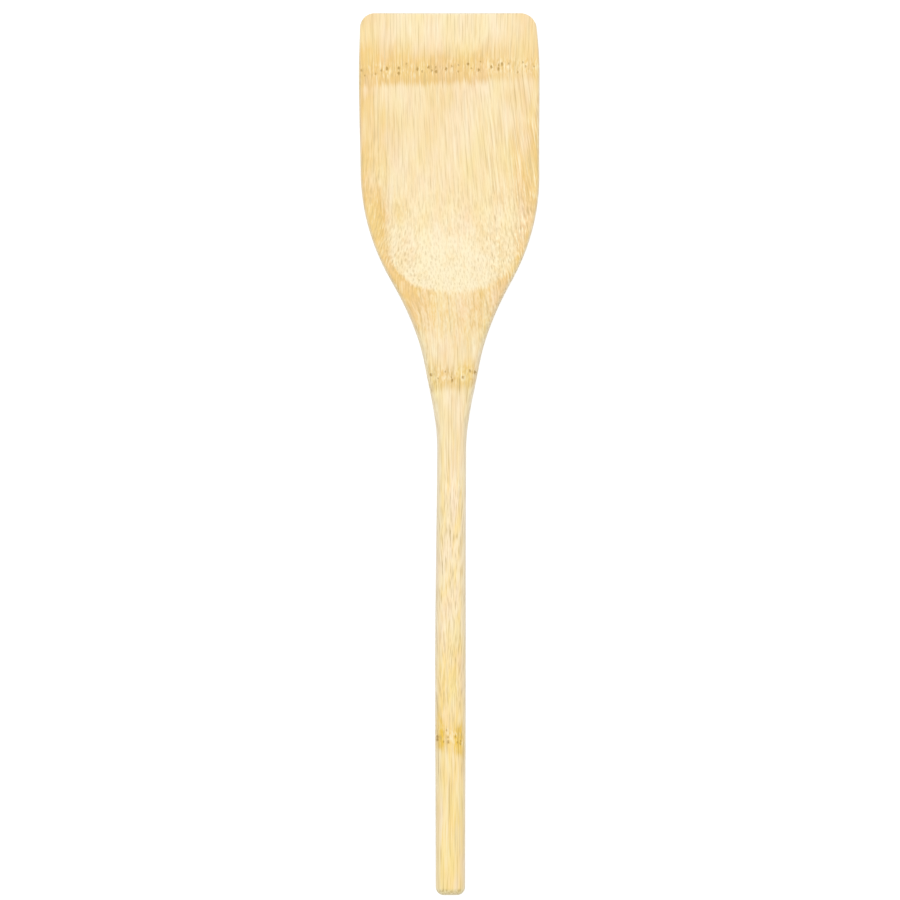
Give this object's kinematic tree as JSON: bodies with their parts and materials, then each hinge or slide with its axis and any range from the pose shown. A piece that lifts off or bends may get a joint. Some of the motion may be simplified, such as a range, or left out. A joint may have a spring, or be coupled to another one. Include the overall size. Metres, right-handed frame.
{
  "type": "bamboo spatula",
  "caption": "Flat one-piece bamboo turner with a slim straight handle, a flared neck and a square-ended blade with a shallow food hollow.",
  "frame": {"origin": "under the middle of the whole length, on the plane that the flat back rests on", "axes": "+Z out of the hollow face, +Y along the tool towards the working edge, +X to the right as seen from above with the blade up"},
  "size_m": [0.0624, 0.305, 0.01],
  "materials": {
    "bamboo": "fine-sanded and lightly oiled, satin"
  },
  "bodies": {
    "root": {"spatula": "bamboo"}
  },
  "joints": []
}
